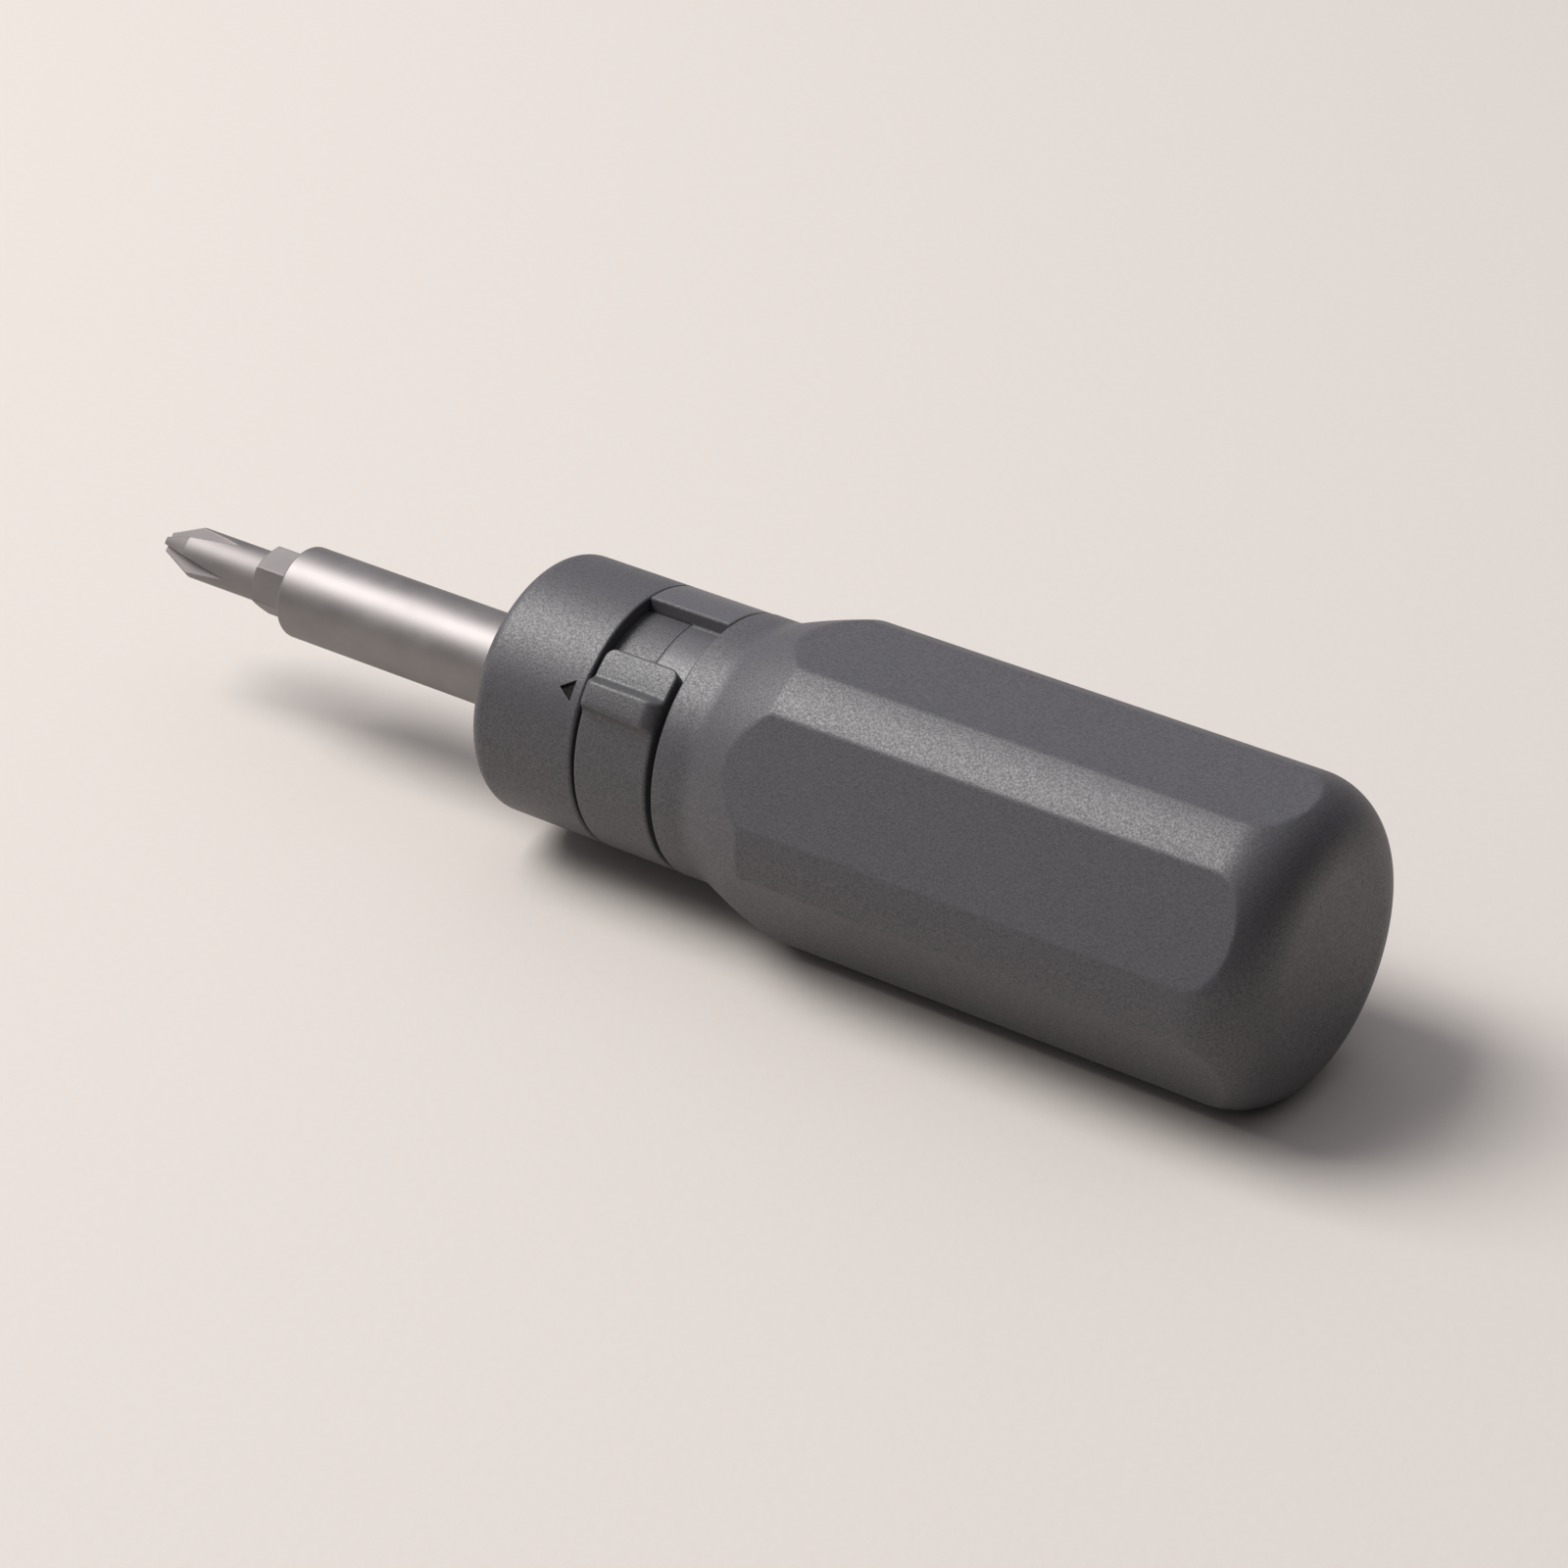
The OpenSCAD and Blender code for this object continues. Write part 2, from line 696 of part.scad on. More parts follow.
module pawl_pins() {
  color(steel_satin) lay_down() for (side = [0, 1]) side_of(side) at(pin_circle_r, pivot_deg)
    rod(pin_r, chamber_front - pin_seat + hairline, web_front + pin_seat - hairline);
}

// Coil spring between two places on its own z axis, one unbroken wire
module coil_spring(z0, z1, coil_r, wire_r, turns) {
  steps = 10;
  sides = 6;
  rings = turns * steps;
  rise = (z1 - z0 - 2 * wire_r) / rings;
  points = [
    for (i = [0:rings]) for (k = [0:sides - 1])
      let (a = 360 * i / steps, b = 360 * k / sides, r = coil_r + wire_r * cos(b))
        [r * cos(a), r * sin(a), z0 + wire_r + i * rise + wire_r * sin(b)]
  ];
  walls = [
    for (i = [0:rings - 1]) for (k = [0:sides - 1])
      let (n = (k + 1) % sides)
        each [
          [i * sides + k, i * sides + n, (i + 1) * sides + n],
          [i * sides + k, (i + 1) * sides + n, (i + 1) * sides + k]
        ]
  ];
  ends = [[for (k = [sides - 1:-1:0]) k], [for (k = [0:sides - 1]) rings * sides + k]];
  polyhedron(points = points, faces = concat(walls, ends));
}

// Spring from the pawl's seat to the bottom of its hole in the sleeve
module pawl_spring() {
  outward(spring_deg, spring_z)
    coil_spring(spring_seat_r, spring_floor_r - seat_clear, spring_r, spring_wire_r, spring_turns);
}

module forward_pawl_spring() {
  color(steel_satin) lay_down() pawl_spring();
}

module reverse_pawl_spring() {
  color(steel_satin) lay_down() other_side() pawl_spring();
}

module selector_ring() {
  front = selector_front_gap;
  back = channel_len - selector_gap;
  color(plastic_grey) lay_down() difference() {
    union() {
      soft_band(tab_start_deg, selector_end_deg, selector_in_r, collar_r, front, back, edge_round);
      translate([0, 0, front]) linear_extrude(height = back - front) polygon(tab_outline());
    }
    for (end = [0, 1]) tab_corner_cut(front, back, end);
    for (side = [0, 1]) side_of(side) cam_pocket();
    for (k = [-1, 0, 1]) detent_notch(mech_deg + k * throw_deg);
  }
}

// Height of the tab over its sweep: a plate, a hollow rise to the crest, and a slope
function tab_r(a) =
  a < tab_plate_deg ? collar_r + tab_plate_rise
  : a < tab_crest_deg
    ? collar_r + tab_plate_rise + (tab_crest_rise - tab_plate_rise)
      * pow((a - tab_plate_deg) / (tab_crest_deg - tab_plate_deg), 2)
    : collar_r + tab_crest_rise
      * pow((tab_foot_deg - a) / (tab_foot_deg - tab_crest_deg), 1.5);

// The tab's free edge, its top, and a line back inside the skirt
function tab_outline() = concat(
  [
    polar(selector_in_r + channel_depth / 2, tab_start_deg),
    polar(collar_r + tab_plate_rise - edge_round, tab_start_deg)
  ],
  [for (a = [1.3:1:tab_foot_deg]) polar(tab_r(a), tab_start_deg + a)],
  [polar(collar_r, tab_start_deg + tab_foot_deg)],
  [for (a = [tab_foot_deg:-tab_foot_deg / 4:0])
    polar(selector_in_r + channel_depth / 3, tab_start_deg + a)]
);

// Rounds one corner of the tab's free edge, seen from outside
module tab_corner_cut(front, back, end) {
  corner_a = tab_start_deg + tab_corner / collar_r * 180 / PI;
  corner_z = end == 0 ? front + tab_corner : back - tab_corner;
  side = tab_corner + over;
  height = channel_depth + tab_crest_rise + 2 * over;
  outward(corner_a, corner_z) translate([0, 0, floor_r - over]) difference() {
    translate([end == 0 ? 0 : -side, -side, 0]) cube([side, side, height]);
    translate([0, 0, -over]) cylinder(r = tab_corner, h = height + 2 * over);
  }
}

// Pocket whose outer wall is a spiral, so that the tail moves at a steady rate
module cam_pocket() {
  half_turn = throw_deg + drift_deg / 2;
  reach = half_turn + cam_margin_deg;
  depth = tail_back - tail_front + 2 * cam_side_gap;
  translate([0, 0, tail_front - cam_side_gap]) linear_extrude(height = depth) polygon(concat(
    [for (a = [-reach:reach / 16:reach])
      polar(cam_mid_r - cam_swing * a / half_turn, tail_mid_deg + a)],
    [for (a = [reach:-reach / 4:-reach]) polar(chamber_r, tail_mid_deg + a)]
  ));
}

// Notch with sloping sides that the detent's nib drops into
module detent_notch(a) {
  width = detent_back - detent_front + 2 * notch_side_gap;
  top_r = floor_r + detent_rise + notch_gap;
  translate([0, 0, detent_front - notch_side_gap]) linear_extrude(height = width) polygon([
    polar(floor_r - over, a - notch_deg), polar(floor_r, a - notch_deg),
    polar(top_r, a - notch_floor_deg), polar(top_r, a + notch_floor_deg),
    polar(floor_r, a + notch_deg), polar(floor_r - over, a + notch_deg)
  ]);
}

// Thin leaf bent up in the middle to a nib that drops into the selector's notches
module detent_spring() {
  low = detent_floor_r + seat_clear;
  high = floor_r - detent_t - detent_under;
  nib = floor_r + detent_rise - detent_t;
  bend_shares = [-1, -0.8, -0.4, -0.16, -0.04, 0.04, 0.16, 0.4, 0.8, 1];
  bend_rs = [low, low, high, high, nib, nib, high, high, low, low];
  bends = len(bend_rs);
  color(steel_satin) lay_down() translate([0, 0, detent_front])
    linear_extrude(height = detent_back - detent_front) polygon([
      for (i = [0:bends - 1])
        polar(bend_rs[i] + detent_t, mech_deg + bend_shares[i] * detent_half_deg),
      for (i = [bends - 1:-1:0]) polar(bend_rs[i], mech_deg + bend_shares[i] * detent_half_deg)
    ]);
}

module ratchet_housing() {
  color(plastic_grey) lay_down() difference() {
    union() {
      tube(chamber_r, floor_r, parting_z + hairline / 2, neck_front - hairline);
      rod(floor_r, web_front, neck_front - hairline);
      rod(plug_r, web_front, web_back);
      pillars(parting_z + hairline / 2, web_front + over);
      rod(spigot_r, web_back - over, spigot_back);
      for (a = key_degs) rotate(a) translate([0, -spigot_key_w / 2, web_back - over])
        cube([spigot_key_r, spigot_key_w, spigot_key_len + over]);
      bridge();
    }
    rod(rear_bush_r + seat_clear, web_front - over, web_front + rear_bush_len + hairline);
    rod(spigot_bore_r, web_front - over, plate_back + seat_clear);
    for (side = [0, 1]) side_of(side) {
      at(pin_circle_r, pivot_deg) rod(pin_r + seat_clear, web_front - over, web_front + pin_seat);
      tail_slot();
      outward(spring_deg, spring_z) rod(spring_hole_r, chamber_r - over, spring_floor_r);
    }
    for (a = screw_degs) at(pin_circle_r, a) {
      rod(screw_r + seat_clear, parting_z - over, web_back + over);
      rod(screw_head_r + hairline, web_back - screw_head_t, web_back + over);
    }
    outward(mech_deg, cross_pin_z) rod(cross_pin_r + seat_clear, -spigot_r - over, spigot_r + over);
  }
}

// Slot through the sleeve for the pawl's tail, open to the parting line
module tail_slot() {
  depth = tail_back + cam_side_gap - parting_z;
  rotate(tail_mid_deg) translate([chamber_r - over, -tail_window / 2, parting_z - over])
    cube([sleeve_wall + 2 * over, tail_window, depth + over]);
}

// Block flush with the collar that closes the channel between the selector's stops
module bridge() {
  arc_band(
    bridge_from_deg, bridge_to_deg, floor_r - bridge_root, collar_r - edge_round,
    parting_z + hairline, channel_len - hairline
  );
  soft_band(
    bridge_from_deg, bridge_to_deg, floor_r + seat_clear, collar_r,
    hairline, channel_len - hairline, edge_round / 2
  );
}

module housing_screws() {
  head_front = web_back - screw_head_t + seat_clear;
  socket_depth = screw_head_t * screw_socket_share;
  color(steel_satin) lay_down() for (a = screw_degs) at(pin_circle_r, a) difference() {
    union() {
      rod(screw_r, hairline - screw_reach, head_front);
      rod(screw_head_r, head_front, web_back);
    }
    hex_rod(screw_r * screw_drive_share, 0, web_back - socket_depth, web_back + over);
  }
}

module rear_bush() {
  color(bronze) lay_down()
    tube(journal_r + running_clear, rear_bush_r, web_front + seat_clear, web_front + rear_bush_len);
}

module thrust_ball() {
  color(steel_satin) lay_down() translate([0, 0, ball_z]) sphere(r = ball_r - seat_clear);
}

module thrust_plate() {
  color(steel_dark) lay_down()
    rod(spigot_bore_r - seat_clear, plate_front + seat_clear, plate_back);
}

module housing_cross_pin() {
  half_len = core_r - hairline;
  color(steel_satin) lay_down() outward(mech_deg, cross_pin_z)
    rod(cross_pin_r, -half_len, half_len);
}

module handle_core() {
  key_w = spigot_key_w + 2 * seat_clear;
  color(core_grey) lay_down() difference() {
    union() {
      bore_filler(core_rib_rise);
      intersection() {
        bore_filler(seat_clear);
        for (k = [0:core_ribs - 1]) rotate(k * 360 / core_ribs)
          translate([0, -core_rib_w / 2, core_front])
            cube([neck_bore_r + grip_bore_r, core_rib_w, core_back - core_front]);
      }
    }
    rod(spigot_r + seat_clear, core_front - over, spigot_back + hairline);
    for (a = key_degs) rotate(a) translate([0, -key_w / 2, core_front - over])
      cube([spigot_key_r + seat_clear, key_w, spigot_key_len + hairline + over]);
    outward(mech_deg, cross_pin_z) rod(cross_pin_r + seat_clear, -core_r - over, core_r + over);
    core_hollow();
  }
}

// A stepped bar that fills the handle's two bores but for a gap round it
module bore_filler(gap) {
  rotate_extrude() {
    translate([0, core_front]) square([neck_bore_r - gap, grip_bore_front - core_front]);
    translate([0, grip_bore_front]) square([grip_bore_r - gap, core_back - grip_bore_front]);
  }
}

// Round hollow behind the spigot, divided by three webs through the axis
module core_hollow() {
  difference() {
    rod(core_hollow_r, core_hollow_front, core_back + over);
    for (k = [0:2]) rotate(60 * k)
      translate([-core_r, -core_web_t / 2, core_hollow_front - over])
        cube([2 * core_r, core_web_t, core_back - core_hollow_front + 2 * over]);
  }
}

module handle_grip() {
  color(plastic_grey) lay_down() difference() {
    intersection() {
      rotate_extrude() handle_section();
      flat_prism();
    }
    rod(neck_bore_r, neck_front - over, grip_bore_front);
    rod(grip_bore_r, grip_bore_front, rear_z - rear_wall);
  }
}

// Six-sided bar whose sides are the handle's flats
module flat_prism() {
  corner_r = flat_reach / cos(180 / flat_count);
  first_deg = flat_deg + 180 / flat_count;
  translate([0, 0, neck_front - over]) linear_extrude(height = handle_len + 2 * over)
    polygon([for (k = [0:flat_count - 1]) polar(corner_r, first_deg + 360 * k / flat_count)]);
}

// Half section of the handle: neck, flare, grip and rear round. The flare's hollow and
// its swelling run smoothly into each other, and the swelling ends at the grip's edge.
module handle_section() {
  rise = grip_r - neck_r;
  flare_start = neck_front + neck_len;
  flare_end = flare_start + flare_len;
  sink = flare_hollow_r - rise;
  lean = flare_hollow_r
    + (pow(flare_hollow_r, 2) - pow(flare_len, 2) - pow(sink, 2)) / (2 * flare_full_r);
  edge_turn = asin(lean / norm([flare_len, sink])) - atan2(sink, flare_len);
  turn = asin((flare_len + flare_full_r * sin(edge_turn)) / (flare_full_r + flare_hollow_r));
  full_at = [grip_r - flare_full_r * cos(edge_turn), flare_end + flare_full_r * sin(edge_turn)];
  meet_r = neck_r + flare_hollow_r * (1 - cos(turn));
  meet_len = neck_len + flare_hollow_r * sin(turn);
  difference() {
    union() {
      translate([0, neck_front]) square([meet_r, meet_len]);
      intersection() {
        translate(full_at + [blend, 0]) circle(r = flare_full_r, $fn = 720);
        translate([0, flare_start]) square([grip_r, flare_len]);
      }
      translate([0, flare_end]) square([grip_r, rear_z - rear_round - flare_end]);
      translate([0, flare_end]) square([grip_r - rear_round, rear_z - flare_end]);
      intersection() {
        translate([grip_r - rear_round, rear_z - rear_round]) circle(r = rear_round);
        translate([grip_r - rear_round - over, rear_z - rear_round - over])
          square(rear_round + 2 * over);
      }
    }
    neck_edge();
    translate([neck_r, neck_front]) square([rise, neck_len]);
    translate([neck_r + flare_hollow_r - blend, flare_start]) circle(r = flare_hollow_r);
  }
}

// Outside of the round on the neck's front edge
module neck_edge() {
  difference() {
    translate([neck_r - edge_round, neck_front - over]) square([over, over + edge_round]);
    translate([neck_r - edge_round, neck_front + edge_round]) circle(r = edge_round);
  }
}

phillips_bit();
bit_retaining_ring();
socket_magnet();
bit_holder_shaft();
nose_collar();
nose_bush();
front_thrust_washer();
ratchet_gear();
gear_retaining_clip();
forward_pawl();
reverse_pawl();
pawl_pins();
forward_pawl_spring();
reverse_pawl_spring();
selector_ring();
detent_spring();
ratchet_housing();
housing_screws();
rear_bush();
thrust_ball();
thrust_plate();
housing_cross_pin();
handle_core();
handle_grip();
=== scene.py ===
import json
import math

import bpy
import bmesh
import numpy as np
from mathutils import Matrix, Vector


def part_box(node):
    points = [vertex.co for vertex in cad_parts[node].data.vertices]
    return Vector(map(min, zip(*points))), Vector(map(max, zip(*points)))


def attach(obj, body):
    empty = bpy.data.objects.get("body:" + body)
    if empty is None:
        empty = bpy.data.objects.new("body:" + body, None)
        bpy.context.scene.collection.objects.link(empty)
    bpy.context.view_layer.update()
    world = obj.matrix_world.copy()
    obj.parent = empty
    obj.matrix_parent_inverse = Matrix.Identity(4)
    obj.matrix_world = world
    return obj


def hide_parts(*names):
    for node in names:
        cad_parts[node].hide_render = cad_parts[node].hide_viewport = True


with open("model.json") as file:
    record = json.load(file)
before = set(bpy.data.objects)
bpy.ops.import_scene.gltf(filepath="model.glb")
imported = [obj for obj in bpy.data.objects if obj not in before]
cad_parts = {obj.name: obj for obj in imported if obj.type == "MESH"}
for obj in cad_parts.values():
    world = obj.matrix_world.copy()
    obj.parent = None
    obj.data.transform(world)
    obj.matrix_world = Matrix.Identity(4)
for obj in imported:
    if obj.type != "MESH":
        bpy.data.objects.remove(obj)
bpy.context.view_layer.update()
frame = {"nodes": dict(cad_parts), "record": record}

# Looks of a ratcheting screwdriver that lies on one flat of its handle.
# Lengths up to the materials are millimetres on the tool's own axis: z = 0 at the collar's
# rear edge, growing towards the handle. Directions are degrees round that axis: 0 on the far
# side, 90 on top, 180 on the near side. on_tool() turns them into the frame's metres.

MM = 0.001

# Channel between the collar and the handle's neck, and the selector ring in it
CHANNEL_LEN = 9.7
CHANNEL_DEPTH = 1.55
SELECTOR_FRONT_GAP = 0.4
SELECTOR_BACK_GAP = 0.7
SELECTOR_CLEAR = 0.05
SELECTOR_EDGE = 0.3
SELECTOR_START_DEG = 122.0
SELECTOR_END_DEG = 348.0
SELECTOR_SHARP_DEG = 38.0
TAB_CORNER = 1.2

# Thumb tab's height over the ring, against degrees from the ring's free edge
TAB_PLACES = [0, 13.9, 14.9, 16.9, 17.6, 25.6, 26.8, 28.6, 30.6]
TAB_HEIGHTS = [0.02, 0.02, 0.2, 1.15, 1.28, 1.2, 1.05, 0.3, 0.0]
TAB_SAMPLES_PER_DEG = 20
TAB_SAMPLED_FROM = -4
TAB_SAMPLED_TO = 40
TAB_SMOOTHING = 10.0

# Over these lengths the pad falls by these shares of its height, towards its two sides
PAD_FRONT_LEN = 0.9
PAD_FRONT_FALL = 0.35
PAD_BACK_LEN = 1.5
PAD_BACK_FALL = 0.75

# The pad's far end slants: behind this direction it is stretched, most of all at the back
PAD_SLANT_FROM_DEG = 20
PAD_SLANT = 0.26
PAD_SLANT_POWER = 1.5

# Steps round the ring: fine under the tab, coarse behind it, up to just before its end
TAB_STEP_DEG = 0.15
TAB_FINE_END_DEG = 37.0
TAB_JOIN_DEG = 0.5
RING_STEP_DEG = 1.5
RING_SPARE_DEG = 1

# Points of the ring's rounded ends and of its section
END_POINTS = 6
CORNER_POINTS = 7
ACROSS_POINTS = 45

# Shares of the end round by which the ring's sides and its inside are drawn in
END_SIDE_SHARE = 0.6
END_INNER_SHARE = 0.3

# Handle
NECK_R = 13.5
NECK_LEN = 2.9
NECK_EDGE = 0.3
FLARE_LEN = 9.15
FLARE_HOLLOW_R = 5.5
FLARE_FULL_R = 65.0
FLARE_EDGE_R = 1.5
REAR_ROUND = 6.8
REAR_WALL = 6.6
BORE_CLEAR = 0.05
FLAT_COUNT = 6
FLAT_SPAN_DEG = 360 / FLAT_COUNT
FLAT_FIRST_DEG = 30.0
FLAT_EDGE_BLEND = 0.09
GRIP_SHARP_DEG = 50
COLLAR_STEP = 0.05

# Steps along the handle's profile. The plain rows keep this far from the curved ends
NECK_STEPS = 5
HOLLOW_STEPS = 16
FULL_STEPS = 50
FLARE_EDGE_STEPS = 6
REAR_STEPS = 60
PLAIN_ROWS = 4
PLAIN_MARGIN = 8
REAR_FACE_ROWS = 4
REAR_FACE_SHARE = 0.9

# Steps round the handle, from a flat's middle: closer together where the flat's edge runs
GRIP_STEP_DEG = 1.5
CLOSE_STEP_DEG = 0.5
CLOSE_FROM_DEG = 17
CLOSE_TO_DEG = 24

# Sizes and places read from the frame
shaft_low, shaft_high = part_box("bit_holder_shaft")
selector_low, selector_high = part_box("selector_ring")
grip_low, grip_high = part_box("handle_grip")
AXIS_Z = (shaft_low.z + shaft_high.z) / 2
ORIGIN_X = selector_low.x - SELECTOR_FRONT_GAP * MM
GRIP_R = (grip_high.y - grip_low.y) / 2 / MM
FLAT_REACH = (grip_high.z - grip_low.z) / 2 / MM
REAR_Z = (grip_high.x - ORIGIN_X) / MM
COLLAR_R = NECK_R - COLLAR_STEP
FLOOR_R = COLLAR_R - CHANNEL_DEPTH
BORE_R = FLOOR_R + BORE_CLEAR


def on_tool(z, r, deg):
    """Points of the frame at a place along the axis, a radius and a direction."""
    z, r, deg = np.broadcast_arrays(
        np.asarray(z, float), np.asarray(r, float), np.asarray(deg, float)
    )
    a = np.radians(deg)
    return np.stack(
        [ORIGIN_X + z * MM, r * MM * np.cos(a), AXIS_Z + r * MM * np.sin(a)], -1
    )


# Meshes


def grid_mesh(name, points, wrap=True, caps=False, sharp_deg=40.0):
    """A mesh over rows of points. A row that lies in one place becomes a pole."""
    rows, cols = points.shape[:2]
    index = np.arange(rows * cols).reshape(rows, cols)
    around = np.roll(index, -1, axis=1) if wrap else index[:, 1:]
    start = index if wrap else index[:, :-1]
    quads = np.stack([start[:-1], around[:-1], around[1:], start[1:]], -1)
    faces = quads.reshape(-1, 4).tolist()
    if caps:
        faces.append(index[0].tolist())
        faces.append(index[-1][::-1].tolist())
    mesh = bpy.data.meshes.new(name)
    mesh.from_pydata(points.reshape(-1, 3).tolist(), [], faces)
    work = bmesh.new()
    work.from_mesh(mesh)
    bmesh.ops.remove_doubles(work, verts=work.verts, dist=1e-7)
    bmesh.ops.recalc_face_normals(work, faces=work.faces)
    work.to_mesh(mesh)
    work.free()
    mesh.shade_smooth()
    mesh.set_sharp_from_angle(angle=math.radians(sharp_deg))
    return add_object(name, mesh)


def add_object(name, data):
    """A new object in the scene, with a mesh, light or camera as its data."""
    obj = bpy.data.objects.new(name, data)
    bpy.context.scene.collection.objects.link(obj)
    return obj


def arc(centre, radius, start, end, steps):
    """Points (z, r) on an arc, from one angle to another, 0 along +z and 90 outward."""
    a = np.radians(np.linspace(start, end, steps + 1))
    return np.stack([centre[0] + radius * np.cos(a), centre[1] + radius * np.sin(a)], -1)


def soft_min(a, b, reach):
    """The smaller of two surfaces, blended where they come within reach of each other."""
    near = np.maximum(reach - np.abs(a - b), 0.0) / reach
    return np.minimum(a, b) - near * near * reach / 4


def smooth_steps(values, width):
    """Gaussian blur of evenly spaced values, with the ends kept."""
    reach = int(3 * width) + 1
    kernel = np.exp(-0.5 * (np.arange(-reach, reach + 1) / width) ** 2)
    padded = np.pad(values, reach, mode="edge")
    return np.convolve(padded, kernel / kernel.sum(), mode="valid")


def flare_arcs(flare_start, flare_end):
    """Flare as two arcs that meet tangentially: hollow at the neck, full at the grip.

    The full arc meets the grip at a slight angle, which a small round softens.
    """
    sink = FLARE_HOLLOW_R - (GRIP_R - NECK_R)
    lean = FLARE_HOLLOW_R + (
        FLARE_HOLLOW_R**2 - FLARE_LEN**2 - sink**2
    ) / (2 * FLARE_FULL_R)
    edge_turn = math.asin(lean / math.hypot(FLARE_LEN, sink)) - math.atan2(sink, FLARE_LEN)
    turn = math.asin(
        (FLARE_LEN + FLARE_FULL_R * math.sin(edge_turn)) / (FLARE_FULL_R + FLARE_HOLLOW_R)
    )
    hollow = (flare_start, NECK_R + FLARE_HOLLOW_R)
    full = (
        flare_end + FLARE_FULL_R * math.sin(edge_turn),
        GRIP_R - FLARE_FULL_R * math.cos(edge_turn),
    )
    edge = (flare_end + FLARE_EDGE_R * math.tan(edge_turn / 2), GRIP_R - FLARE_EDGE_R)
    edge_turn, turn = math.degrees(edge_turn), math.degrees(turn)
    # The full arc's own ends lie on the hollow arc and under the small round
    return np.concatenate([
        arc(hollow, FLARE_HOLLOW_R, 270, 270 + turn, HOLLOW_STEPS),
        arc(full, FLARE_FULL_R, 90 + turn, 90 + edge_turn, FULL_STEPS)[1:-2],
        arc(edge, FLARE_EDGE_R, 90 + edge_turn, 90, FLARE_EDGE_STEPS),
    ])


def make_handle_grip():
    """Lathed neck, flare and rear round, cut by six flats with soft edges."""
    flare_start = CHANNEL_LEN + NECK_LEN
    flare_end = flare_start + FLARE_LEN
    bore_end = REAR_Z - REAR_WALL
    rear_start = REAR_Z - REAR_ROUND
    rear_face_r = GRIP_R - REAR_ROUND
    neck_edge = (CHANNEL_LEN + NECK_EDGE, NECK_R - NECK_EDGE)
    plain_z = np.linspace(flare_end + PLAIN_MARGIN, rear_start - PLAIN_MARGIN, PLAIN_ROWS)
    face_r = np.linspace(rear_face_r * REAR_FACE_SHARE, 0, REAR_FACE_ROWS)
    bore = np.array([[bore_end, 0], [bore_end, BORE_R], [CHANNEL_LEN, BORE_R]])
    profile = np.concatenate([
        bore,
        arc(neck_edge, NECK_EDGE, 180, 90, NECK_STEPS),
        flare_arcs(flare_start, flare_end),
        np.stack([plain_z, np.full(PLAIN_ROWS, GRIP_R)], -1),
        arc((rear_start, rear_face_r), REAR_ROUND, 90, 0, REAR_STEPS),
        np.stack([np.full(REAR_FACE_ROWS, REAR_Z), face_r], -1),
    ])
    half = FLAT_SPAN_DEG / 2
    offsets = np.unique(np.concatenate([
        np.arange(-half, half, GRIP_STEP_DEG),
        np.arange(-CLOSE_TO_DEG, -CLOSE_FROM_DEG, CLOSE_STEP_DEG),
        np.arange(CLOSE_FROM_DEG, CLOSE_TO_DEG + CLOSE_STEP_DEG / 2, CLOSE_STEP_DEG),
    ]))
    deg = np.concatenate(
        [FLAT_FIRST_DEG + FLAT_SPAN_DEG * k + offsets for k in range(FLAT_COUNT)]
    )
    to_flat = (deg - FLAT_FIRST_DEG + half) % FLAT_SPAN_DEG - half
    flat_r = FLAT_REACH / np.cos(np.radians(to_flat))
    r = soft_min(profile[:, 1:], flat_r[None, :], FLAT_EDGE_BLEND)
    # The flats don't cut the bore, and the blend doesn't open the rear face's middle
    r[: len(bore)] = profile[: len(bore), 1:]
    r[-1] = 0
    points = on_tool(profile[:, :1], r, deg[None, :])
    return grid_mesh("handle_shell", points, sharp_deg=GRIP_SHARP_DEG)


def tab_height(a):
    """Height of the thumb tab over the ring, a in degrees from the ring's free edge."""
    samples = (TAB_SAMPLED_TO - TAB_SAMPLED_FROM) * TAB_SAMPLES_PER_DEG + 1
    places = np.linspace(TAB_SAMPLED_FROM, TAB_SAMPLED_TO, samples)
    raw = np.interp(places, TAB_PLACES, TAB_HEIGHTS)
    return np.interp(a, places, smooth_steps(raw, TAB_SMOOTHING))


